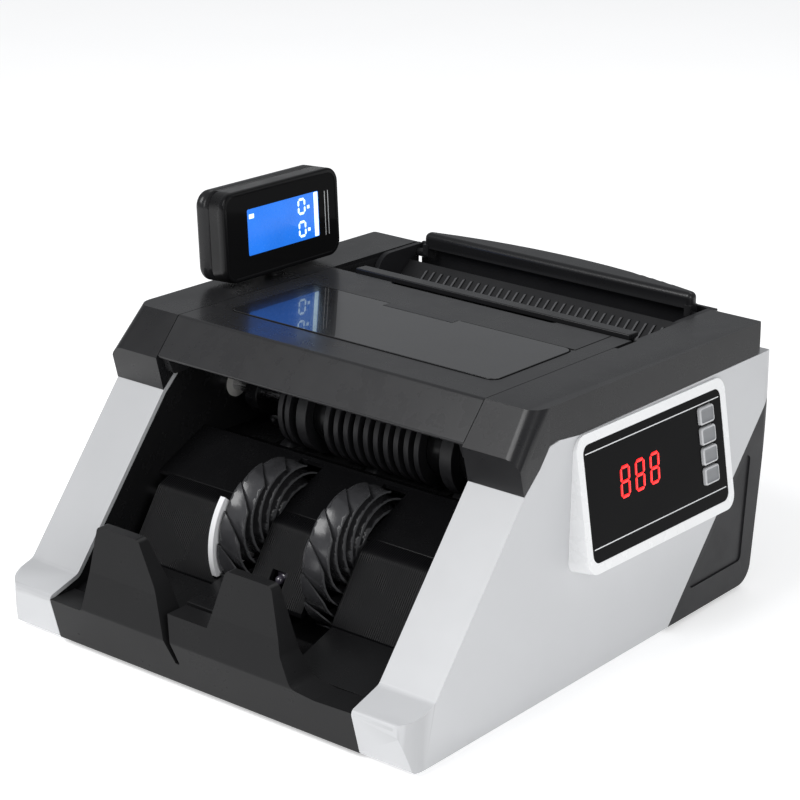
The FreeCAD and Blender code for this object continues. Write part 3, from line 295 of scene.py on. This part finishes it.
BEZEL_BLACK = plastic("bezel_black", (0.0035, 0.0035, 0.004), 0.3, grain=1200, depth=0.006, shine=0.15)
MATT_BLACK = plastic("matt_black", (0.003, 0.003, 0.003), 0.9, grain=1200, depth=0.006, shine=0.0)
NYLON = plastic("natural_nylon", (0.62, 0.61, 0.58), 0.4, grain=900, depth=0.02)
NOTE_PLATE = note_plate("note_plate")
FIN_END, FIN_WIDTH, FIN_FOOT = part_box("stacker_plate_left")[1].x, 3.7 * MM, 44 * MM
FINNED_PLATE = finned_plate("finned_plate", FIN_END - FIN_WIDTH, FIN_END + MM, FIN_FOOT)
HOPPER = ribbed_slope("ribbed_slope")
KEY_GREY = plastic("key_grey", (0.20, 0.205, 0.215), 0.4, grain=1600, depth=0.02)
KEY_RIM = plastic("key_rim", (0.50, 0.505, 0.515), 0.28, grain=1600, depth=0.01)
RUBBER = rubber("drum_rubber", (0.013, 0.013, 0.0145), 0.45)
FOOT_RUBBER = rubber("foot_rubber", (0.03, 0.03, 0.032), 0.75)
BELT_RUBBER = rubber("belt_rubber", (0.018, 0.018, 0.02), 0.7)
STEEL = metal("ground_steel", (0.62, 0.62, 0.64), 0.26)
MOTOR_STEEL = metal("motor_can", (0.42, 0.43, 0.45), 0.38, along=(60, 60, 2))
SCREW_STEEL = metal("screw_steel", (0.55, 0.55, 0.57), 0.3, along=(30, 30, 30))
BADGE = metal("badge_dark", (0.10, 0.10, 0.105), 0.34, along=(1, 80, 80))
LED_RED = glow("led_red", (0.4, 0.002, 0.002), (1.0, 0.004, 0.004), 2.2)
LCD_BLUE = glow("lcd_blue", (0.02, 0.16, 0.6), (0.015, 0.17, 0.80), 0.88, scale=30)
LCD_WHITE = glow("lcd_white", (0.7, 0.85, 0.95), (0.62, 0.86, 1.0), 1.5)
PRINT_WHITE = plastic("white_print", (0.75, 0.76, 0.77), 0.35, grain=2000, depth=0.004, mottle=0.03)
LENS = plastic("sensor_lens", (0.05, 0.045, 0.06), 0.08, gloss=1.0, coat_rough=0.02, depth=0.001)
LEAVES = leaf_wheel("leaf_wheel")
BOARD = circuit_board("circuit_board")

LOOKS = {
    SILVER: ["side_panel_left", "side_panel_right"],
    WHITE: ["control_housing"],
    GLOSS_BLACK: ["top_cap_left", "top_cap_right", "back_rest", "hopper_lip", "lid_shell",
                  "display_rear_shell", "display_post"],
    BEZEL_BLACK: ["display_front_shell"],
    FENCE_BLACK: ["front_fence"],
    LID_BLACK: ["lid_panel"],
    SATIN_BLACK: ["rear_corner_left", "rear_corner_right", "hopper_cheek_left",
                  "hopper_cheek_right", "base_tray", "rear_panel", "power_inlet", "power_rocker"],
    INNER_BLACK: ["inner_wall_left", "inner_wall_right", "guide_plate", "stacker_floor", "drum_core"],
    NOTE_PLATE: ["stacker_plate_middle", "stacker_plate_right"],
    FINNED_PLATE: ["stacker_plate_left"],
    HOPPER: ["hopper_plate"],
    ACRYLIC: ["control_window", "display_window"],
    NYLON: ["bearings", "drum_pulley"],
    RUBBER: ["drum_rings", "pickup_rollers", "pinch_rollers"],
    FOOT_RUBBER: ["rubber_feet"],
    BELT_RUBBER: ["drive_belt", "stacker_belt"],
    STEEL: ["drum_shaft", "pickup_shaft", "stacker_shaft", "motor_pulley", "stacker_motor_pulley"],
    MOTOR_STEEL: ["main_motor", "stacker_motor", "transformer"],
    SCREW_STEEL: ["deck_screws"],
    BADGE: ["badge_plate"],
    LED_RED: ["digit_display"],
    LCD_BLUE: ["display_lcd"],
    LENS: ["note_sensor"],
    LEAVES: ["stacker_wheel_left", "stacker_wheel_right"],
    BOARD: ["main_board"],
    KEY_GREY: ["key_1", "key_2", "key_3", "key_4"],
}
# Edge radius of the moulded parts, in millimetres; the rest stay sharp or nearly so.
SOFT_EDGES = {
    "side_panel_left": 0.45, "side_panel_right": 0.45, "control_housing": 0.9, "top_cap_left": 1.0,
    "top_cap_right": 1.0, "lid_shell": 0.7, "back_rest": 0.5, "hopper_lip": 0.5, "front_fence": 0.8,
    "rear_corner_left": 0.7, "rear_corner_right": 0.7, "rear_panel": 0.5, "rubber_feet": 0.7,
    "lid_panel": 0.3, "hopper_plate": 0.3, "hopper_cheek_left": 0.6, "hopper_cheek_right": 0.6,
    "guide_plate": 0.3, "stacker_plate_left": 0.3, "stacker_plate_right": 0.3, "stacker_plate_middle": 0.3,
    "drum_rings": 0.5, "drum_core": 0.6, "pickup_rollers": 0.6, "power_inlet": 0.4, "power_rocker": 0.4,
    "display_post": 0.4, "transformer": 0.8, "main_motor": 1.0, "stacker_motor": 0.8, "stacker_floor": 0.3,
    "drum_pulley": 0.3, "base_tray": 0.4,
}


# Parts whose long curved edges come out cleaner from their own facets.
KEPT_FACETS = {"side_panel_left", "side_panel_right"}


def finish_edges(obj, radius):
    """Welds the imported facets, rounds the sharp edges and keeps the flats flat."""
    weld = obj.modifiers.new("weld", "WELD")
    weld.merge_threshold = 0.002 * MM
    if obj.name not in KEPT_FACETS:
        flat = obj.modifiers.new("flat", "DECIMATE")
        flat.decimate_type = "DISSOLVE"
        flat.angle_limit = math.radians(0.8)
    if radius:
        bevel = obj.modifiers.new("edge", "BEVEL")
        bevel.width = radius * MM
        bevel.segments = 3
        bevel.limit_method = "ANGLE"
        bevel.angle_limit = math.radians(34)
        bevel.harden_normals = True
        bevel.use_clamp_overlap = True
    for polygon in obj.data.polygons:
        polygon.use_smooth = True
    smooth = obj.modifiers.new("smooth", "WEIGHTED_NORMAL")
    smooth.keep_sharp = True


for look, names in LOOKS.items():
    for name in names:
        node = NODES[name]
        node.data.materials.clear()
        node.data.materials.append(look)
        finish_edges(node, SOFT_EDGES.get(name, 0))

# ---------------------------------------------------------------- mesh helpers

def piece(name, bm, body, looks, bevel=0.0, sharp=35):
    """Turns a bmesh into a finished piece that rides on a body."""
    bmesh.ops.remove_doubles(bm, verts=bm.verts, dist=1e-7)
    bmesh.ops.recalc_face_normals(bm, faces=bm.faces)
    mesh = bpy.data.meshes.new(name)
    bm.to_mesh(mesh)
    bm.free()
    obj = bpy.data.objects.new(name, mesh)
    bpy.context.scene.collection.objects.link(obj)
    for look in looks if isinstance(looks, (list, tuple)) else [looks]:
        mesh.materials.append(look)
    for polygon in mesh.polygons:
        polygon.use_smooth = True
    if bevel:
        edge = obj.modifiers.new("edge", "BEVEL")
        edge.width = bevel * MM
        edge.segments = 2
        edge.limit_method = "ANGLE"
        edge.angle_limit = math.radians(sharp)
        edge.harden_normals = True
        obj.modifiers.new("smooth", "WEIGHTED_NORMAL")
    else:
        mesh.set_sharp_from_angle(angle=math.radians(sharp))
    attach(obj, body)
    return obj


def rounded(half_u, half_v, radius, centre=(0, 0), steps=6):
    """Points of a rounded rectangle, counter-clockwise."""
    points = []
    for index, (su, sv) in enumerate(((1, 1), (-1, 1), (-1, -1), (1, -1))):
        for step in range(steps + 1):
            angle = math.radians(90 * (index + step / steps))
            points.append((centre[0] + su * (half_u - radius) + radius * math.cos(angle),
                           centre[1] + sv * (half_v - radius) + radius * math.sin(angle)))
    return points


def loft(bm, loops, place, material=None, close=True):
    """Skins a stack of equal loops of (u, v, depth) through a placing matrix."""
    rings = [[bm.verts.new(place @ Vector((depth * MM, u * MM, v * MM))) for u, v, depth in loop]
             for loop in loops]
    faces = []
    for lower, upper in zip(rings, rings[1:]):
        for i in range(len(lower)):
            j = (i + 1) % len(lower)
            faces.append(bm.faces.new((lower[i], lower[j], upper[j], upper[i])))
    if close:
        faces += [bm.faces.new(list(reversed(rings[0]))), bm.faces.new(rings[-1])]
    if material is not None:
        for face in faces:
            face.material_index = material
    return faces


def raised(loop, depth):
    return [(u, v, depth) for u, v in loop]


def tile(bm, outline, place, depth, soften=0.12, material=None):
    """Thin raised shape with a softened rim; the outline is convex, (u, v) in millimetres."""
    mid_u = sum(p[0] for p in outline) / len(outline)
    mid_v = sum(p[1] for p in outline) / len(outline)

    def shrunk(by):
        points = []
        for u, v in outline:
            reach = math.hypot(u - mid_u, v - mid_v) or 1
            points.append((mid_u + (u - mid_u) * (1 - by / reach), mid_v + (v - mid_v) * (1 - by / reach)))
        return points

    low, high = depth
    loft(bm, [raised(outline, low), raised(outline, high - soften * 0.5),
              raised(shrunk(soften * 0.4), high - soften * 0.12), raised(shrunk(soften), high)],
         place, material)


def face_frame(node, depth, tilts):
    """Frame on a flat CAD part: x outwards, y to the rear, z up its face, origin on its outer face."""
    low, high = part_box(node)
    turn = Matrix.Identity(4)
    for axis, angle in tilts:
        turn = turn @ Matrix.Rotation(math.radians(angle), 4, axis)
    return Matrix.Translation((low + high) / 2) @ turn @ Matrix.Translation((depth * MM, 0, 0))


PANEL_TILTS = (("X", -BASE_TILT), ("Y", -PANEL_LEAN))
SCREEN_TILTS = (("X", -BASE_TILT), ("Y", -DISPLAY_LEAN))
# Depths from the windows' middles to their outer faces, in millimetres.
PANEL = face_frame("control_window", 0.475, PANEL_TILTS)
SCREEN = face_frame("display_window", 0.575, SCREEN_TILTS)

# ---------------------------------------------------------------- control panel

SEGMENTS = {"a": ((-1, 1), (1, 1)), "b": ((1, 1), (1, 0)), "c": ((1, 0), (1, -1)), "d": ((-1, -1), (1, -1)),
            "e": ((-1, 0), (-1, -1)), "f": ((-1, 1), (-1, 0)), "g": ((-1, 0), (1, 0))}


def seven_segments(bm, centre, size, bar, place, lit="abcdefg", slant=0.0, depth=(-0.05, 0.05)):
    """Figure of bevelled bars; size is the half width and half height to the bars' middles."""
    for name in lit:
        (u0, v0), (u1, v1) = [(u * size[0], v * size[1]) for u, v in SEGMENTS[name]]
        along = Vector((u1 - u0, v1 - v0)).normalized()
        across = Vector((-along.y, along.x)) * bar / 2
        start, end = Vector((u0, v0)) + along * bar * 0.12, Vector((u1, v1)) - along * bar * 0.12
        tips = [start, start + along * bar / 2 - across, end - along * bar / 2 - across, end,
                end - along * bar / 2 + across, start + along * bar / 2 + across]
        outline = [(centre[0] + p.x + slant * p.y, centre[1] + p.y) for p in tips]
        tile(bm, outline, place, depth, soften=bar * 0.12)


def strip(bm, u, v, place, depth, radius=0.2):
    half_u, half_v = (u[1] - u[0]) / 2, (v[1] - v[0]) / 2
    middle = ((u[0] + u[1]) / 2, (v[0] + v[1]) / 2)
    outline = rounded(half_u, half_v, min(radius, half_u, half_v) * 0.98, middle, 4)
    tile(bm, outline, place, depth, soften=min(0.1, half_v * 0.4, half_u * 0.4))


def control_panel():
    digits = bmesh.new()
    for middle in (-29.4, -16.1, -2.7):
        seven_segments(digits, (middle, 4.1), (3.5, 7.6), 1.75, PANEL, slant=0.07)
    piece("panel_digits", digits, "chassis", LED_RED)
    lines = bmesh.new()
    for v in (26.3, -23.6):
        strip(lines, (-61.2, 61.2), (v - 0.28, v + 0.28), PANEL, (-0.04, 0.03))
    piece("panel_lines", lines, "chassis", PRINT_WHITE)
    for index in range(4):
        key_cap(f"key_{index + 1}")


def key_cap(name):
    """Key with a light rim round a shallow grey dish."""
    place = face_frame(name, 0, PANEL_TILTS)
    half_u, half_v, front, back = 6.7, 4.7, 1.75, -1.75
    bm = bmesh.new()

    def ring(inset, depth):
        return raised(rounded(half_u - inset, half_v - inset, max(1.6 - inset * 0.7, 0.35)), depth)

    loft(bm, [ring(0, back), ring(0, front - 0.7), ring(0.08, front - 0.36), ring(0.3, front - 0.1),
              ring(0.6, front), ring(1.0, front)], place, 0, close=False)
    loft(bm, [ring(1.0, front), ring(1.15, front - 0.12), ring(1.5, front - 0.26), ring(2.2, front - 0.34),
              ring(3.2, front - 0.4)], place, 1, close=False)
    loft(bm, [ring(3.2, front - 0.4), ring(4.2, front - 0.42)], place, 1)
    cap = piece(f"{name}_cap", bm, name, [KEY_RIM, KEY_GREY])
    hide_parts(name)


control_panel()

# ---------------------------------------------------------------- customer display

def customer_display():
    """Lit panel, its figures turned on their side, and two printed lines."""
    lit = bmesh.new()
    tile(lit, rounded(30.2, 13.3, 1.0, (1, 0.9)), SCREEN, (-0.05, 0.03))
    piece("screen_lit", lit, "display", LCD_BLUE)
    marks = bmesh.new()
    mark_depth = (0.02, 0.07)
    for v in (7.6, -5.6):
        seven_segments(marks, (16.6, v), (2.6, 4.1), 1.5, SCREEN, "abcdef", depth=mark_depth)
        strip(marks, (21.2, 23.4), (v - 2.2, v - 0.2), SCREEN, mark_depth)
    strip(marks, (27.2, 30.6), (-12.0, 13.8), SCREEN, mark_depth, 0.5)
    strip(marks, (-27.8, -23.6), (8.6, 11.2), SCREEN, mark_depth)
    piece("screen_marks", marks, "display", LCD_WHITE)
    lines = bmesh.new()
    for u in (36.8, 39.6):
        strip(lines, (u - 0.26, u + 0.26), (-13, 13), SCREEN, (-0.03, 0.03))
    piece("screen_lines", lines, "display", PRINT_WHITE)


customer_display()

# ---------------------------------------------------------------- small fittings

def screw_head(bm, place, radius, height, cross=0.62):
    """Domed head with a cross recess, as rings of vertices round the screw's axis."""
    rings, around = 9, 64
    grid = []
    for ring in range(rings + 1):
        reach = radius * ring / rings
        row = []
        for step in range(around):
            angle = 2 * math.pi * step / around
            u, v = reach * math.cos(angle), reach * math.sin(angle)
            z = height * math.sqrt(max(1 - (reach / radius) ** 2, 0)) * 0.45 + height * 0.55
            narrow, long = sorted((abs(u), abs(v)))
            if narrow < radius * 0.17 and long < radius * cross:
                z -= height * 0.5
            row.append(bm.verts.new(place @ Vector((u * MM, v * MM, z * MM))))
        grid.append(row)
    grid.append([bm.verts.new(place @ Vector((radius * math.cos(2 * math.pi * step / around) * MM,
                                              radius * math.sin(2 * math.pi * step / around) * MM, 0)))
                 for step in range(around)])
    for inner, outer in zip(grid, grid[1:]):
        for i in range(around):
            j = (i + 1) % around
            bm.faces.new((inner[i], outer[i], outer[j], inner[j]))
    bm.faces.new(list(reversed(grid[-1])))


def deck_screws():
    low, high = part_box("deck_screws")
    radius = (high.y - low.y) / 2 / MM
    bm = bmesh.new()
    for step in (0, 0.229, 0.5, 0.771, 1):
        x = low.x + radius * MM + (high.x - low.x - 2 * radius * MM) * step
        place = Matrix.Translation((x, (low.y + high.y) / 2, low.z)) @ Matrix.Rotation(step * 9, 4, "Z")
        screw_head(bm, place, radius, (high.z - low.z) / MM)
    heads = piece("deck_screw_heads", bm, "chassis", SCREW_STEEL, sharp=40)
    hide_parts("deck_screws")


def lid_grooves():
    """Dark joints behind the lid's cover sheet and from its corner to the rear edge."""
    low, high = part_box("lid_panel")
    badge_low, badge_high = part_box("badge_plate")
    shell_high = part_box("lid_shell")[1]
    slope = math.tan(math.radians(BASE_TILT))
    lift, across_half, along_half, badge_rise, drop = 0.04, 0.75, 0.28, 0.66, 0.2

    def surface(x, y):
        """Point on the lid's sloping top; the badge plate gives its height."""
        z = badge_high.z - badge_rise * MM - (y - badge_low.y) * slope + lift * MM
        return Vector((x, y, z))

    bm = bmesh.new()
    back = high.y + 0.75 * MM
    runs = [((low.x, back), (badge_low.x - 0.6 * MM, back)),
            ((badge_high.x + 0.6 * MM, back), (high.x, back)),
            ((high.x + 0.4 * MM, back), (high.x + 0.4 * MM, shell_high.y - 1.5 * MM))]
    for (x0, y0), (x1, y1) in runs:
        along = Vector((x1 - x0, y1 - y0, 0)).normalized()
        across = Vector((-along.y, along.x, 0)) * (across_half if along.x else along_half) * MM
        rows = [[surface(*(Vector((x, y, 0)) + across * side).xy) for side in (-1, -0.4, 0.4, 1)]
                for x, y in ((x0, y0), (x1, y1))]
        lower = [[p - Vector((0, 0, drop * MM)) for p in row] for row in rows]
        loops = [[bm.verts.new(p) for p in row + list(reversed(under))]
                 for row, under in zip(rows, lower)]
        size = len(loops[0])
        for i in range(size):
            j = (i + 1) % size
            bm.faces.new((loops[0][i], loops[0][j], loops[1][j], loops[1][i]))
        bm.faces.new(loops[0])
        bm.faces.new(loops[1])
    piece("lid_joint_lines", bm, "lid", MATT_BLACK)


def rocker_marks():
    """A bar and a ring on the two ends of the mains rocker."""
    low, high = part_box("power_rocker")
    panel_run, panel_rise = 10.8, 96.9
    lean = Matrix.Rotation(-math.atan2(panel_run, panel_rise), 4, "X")
    place = Matrix.Translation((low + high) / 2) @ lean
    bm = bmesh.new()
    outer, inner, face, steps = 1.6, 1.15, 3.7, 24
    turns = [2 * math.pi * i / steps for i in range(steps)]
    loops = []
    for radius, depth in ((outer, face - 0.5), (outer, face), (inner, face), (inner, face - 0.5)):
        ring = [Vector((4.2 + radius * math.cos(turn), depth, radius * math.sin(turn))) for turn in turns]
        loops.append([bm.verts.new(place @ (point * MM)) for point in ring])
    for first, second in zip(loops, loops[1:] + loops[:1]):
        for i in range(steps):
            j = (i + 1) % steps
            bm.faces.new((first[i], first[j], second[j], second[i]))
    bar = bmesh.ops.create_cube(bm, size=1)["verts"]
    for vertex in bar:
        x, y, z = vertex.co
        vertex.co = place @ Vector(((-4.2 + x * 0.5) * MM, (face - 0.25 + y * 0.5) * MM, z * 3.2 * MM))
    piece("rocker_marks", bm, "rocker", PRINT_WHITE, bevel=0.05)


deck_screws()
lid_grooves()
rocker_marks()

# ---------------------------------------------------------------- stage, light, camera

def floor():
    s = Shader("pale_floor")
    s.link(s.mix(s.spread(s.noise(3, 3), 0, 1), (0.88, 0.88, 0.88), (0.91, 0.91, 0.91)), "Base Color")
    s.link(s.spread(s.noise(9, 3), 0.75, 0.85), "Roughness")
    s.set(Emission_Color=(1, 1, 1, 1), Emission_Strength=0.45, Specular_IOR_Level=0.2)
    bm = bmesh.new()
    bmesh.ops.create_grid(bm, x_segments=4, y_segments=4, size=30)
    mesh = bpy.data.meshes.new("floor")
    bm.to_mesh(mesh)
    bm.free()
    obj = bpy.data.objects.new("floor", mesh)
    mesh.materials.append(s.material)
    bpy.context.scene.collection.objects.link(obj)


def soft_light(name, place, target, size, power, spread=180):
    data = bpy.data.lights.new(name, "AREA")
    data.shape = "RECTANGLE"
    data.size, data.size_y = size
    data.energy = power
    data.spread = math.radians(spread)
    obj = bpy.data.objects.new(name, data)
    obj.location = place
    obj.rotation_euler = (Vector(target) - Vector(place)).to_track_quat("-Z", "Y").to_euler()
    bpy.context.scene.collection.objects.link(obj)


def world():
    sky = bpy.data.worlds.new("studio")
    bpy.context.scene.world = sky
    sky.use_nodes = True
    back = sky.node_tree.nodes["Background"]
    back.inputs["Color"].default_value = (0.95, 0.97, 1.0, 1)
    back.inputs["Strength"].default_value = 0.35


def camera():
    """Camera from its orbit angles, target, distance and lens."""
    azimuth, elevation = math.radians(39.335), math.radians(20.048)
    target = Vector((27.061, -23.0, 133.329)) * MM
    back = Vector((math.sin(azimuth) * math.cos(elevation), -math.cos(azimuth) * math.cos(elevation),
                   math.sin(elevation)))
    data = bpy.data.cameras.new("camera")
    data.lens = 116.40033
    data.sensor_width = 36
    obj = bpy.data.objects.new("camera", data)
    distance = 1.355996
    obj.location = target + back * distance
    obj.rotation_euler = (-back).to_track_quat("-Z", "Y").to_euler()
    bpy.context.scene.collection.objects.link(obj)
    bpy.context.scene.camera = obj


floor()
world()
soft_light("key", (-0.5, -1.3, 1.5), (0, 0, 0.1), (1.1, 1.1), 27)
soft_light("fill_right", (1.5, -0.75, 0.8), (0, -0.1, 0.08), (0.9, 0.9), 9)
soft_light("top_back", (0.1, 1.0, 1.6), (0, 0, 0.15), (1.2, 0.7), 5)
camera()
bpy.context.scene.view_settings.view_transform = "Standard"
